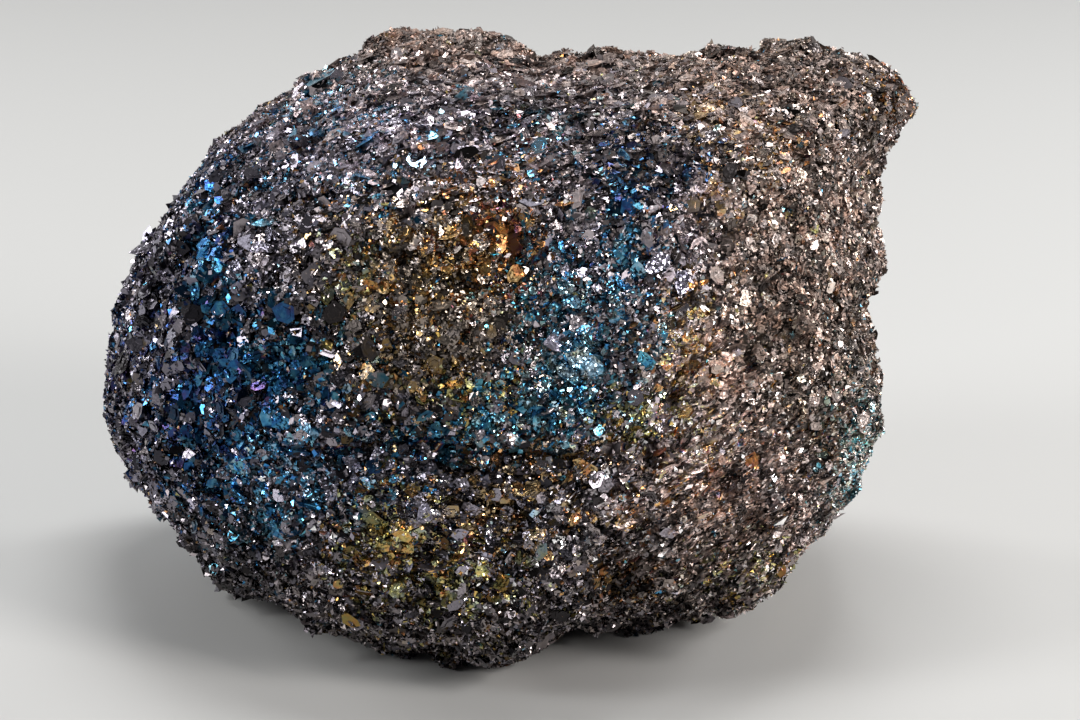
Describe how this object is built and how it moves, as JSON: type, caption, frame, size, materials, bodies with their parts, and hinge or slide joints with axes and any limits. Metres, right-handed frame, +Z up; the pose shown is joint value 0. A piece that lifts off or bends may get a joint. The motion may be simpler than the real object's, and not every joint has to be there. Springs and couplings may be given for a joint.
{
  "type": "hematite specimen",
  "caption": "Boulder-shaped lump of specular hematite in mirror-bright flakes with iridescent tarnish, resting on a flat underside.",
  "frame": {"origin": "centre of the bounding box's underside, on the surface it rests on", "axes": "+Z up, +X to the right across the front, +Y away from the viewer"},
  "size_m": [0.12, 0.0836, 0.0798],
  "materials": {
    "hematite": "mirror-bright metallic flakes, steel grey with blue, cyan, gold and rose tarnish films over brown-grey ground"
  },
  "bodies": {
    "root": {"hematite_mass": "hematite"}
  },
  "joints": []
}
